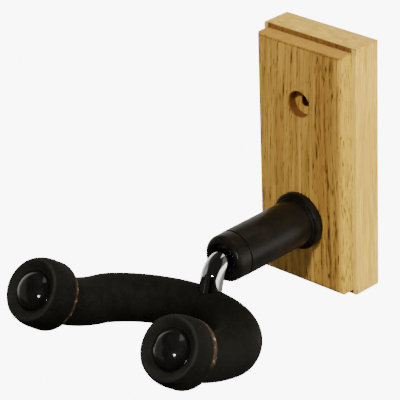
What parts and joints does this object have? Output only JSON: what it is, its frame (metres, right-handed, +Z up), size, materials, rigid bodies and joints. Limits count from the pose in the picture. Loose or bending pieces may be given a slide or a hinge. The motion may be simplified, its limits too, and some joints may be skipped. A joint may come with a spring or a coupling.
{
  "type": "wall guitar hanger",
  "caption": "Oak wall block with a black arm tube and a chrome rod that swivels a padded U-shaped yoke, open at the front to hold an instrument's neck below the headstock.",
  "frame": {"origin": "centre of the wood block's wall face", "axes": "+Z up, -Y straight out of the wall along the arm, +X to the right of someone facing the wall"},
  "size_m": [0.1182, 0.1696, 0.127],
  "materials": {
    "oak": "clear-coated oak, satin",
    "satin_black": "satin black",
    "nylon": "natural nylon",
    "black_nylon": "black nylon",
    "nylon_blue": "blue nylon",
    "chrome_rod": "polished chrome plate",
    "zinc_steel": "zinc plated",
    "spring_steel": "black oxide spring steel",
    "raw_steel": "plain steel",
    "rubber_sleeve": "matte black foam rubber",
    "rubber_bumper": "matte black rubber",
    "gloss_black": "gloss black"
  },
  "bodies": {
    "bracket": {"wood_block": "oak", "rear_bushing": "nylon", "base_flange": "satin_black", "spacer_tube": "satin_black", "front_cap": "satin_black", "front_bushing": "black_nylon"},
    "yoke": {"swivel_rod": "chrome_rod", "thrust_washer": "zinc_steel", "retaining_ring": "spring_steel", "rear_washer": "zinc_steel", "disc_spring": "spring_steel", "lock_nut": "zinc_steel", "nut_insert": "nylon_blue", "yoke_rod": "raw_steel", "sleeve_left": "rubber_sleeve", "sleeve_right": "rubber_sleeve", "bumper_left": "rubber_bumper", "bumper_right": "rubber_bumper", "end_washers": "zinc_steel", "push_nuts": "spring_steel", "dome_cap_left": "gloss_black", "dome_cap_right": "gloss_black"}
  },
  "joints": [
    {"name": "yoke_swivel", "type": "hinge", "parent": "bracket", "child": "yoke", "pos_m": [0, -0.08, -0.0285], "axis": [0, -1, 0], "continuous": true}
  ]
}
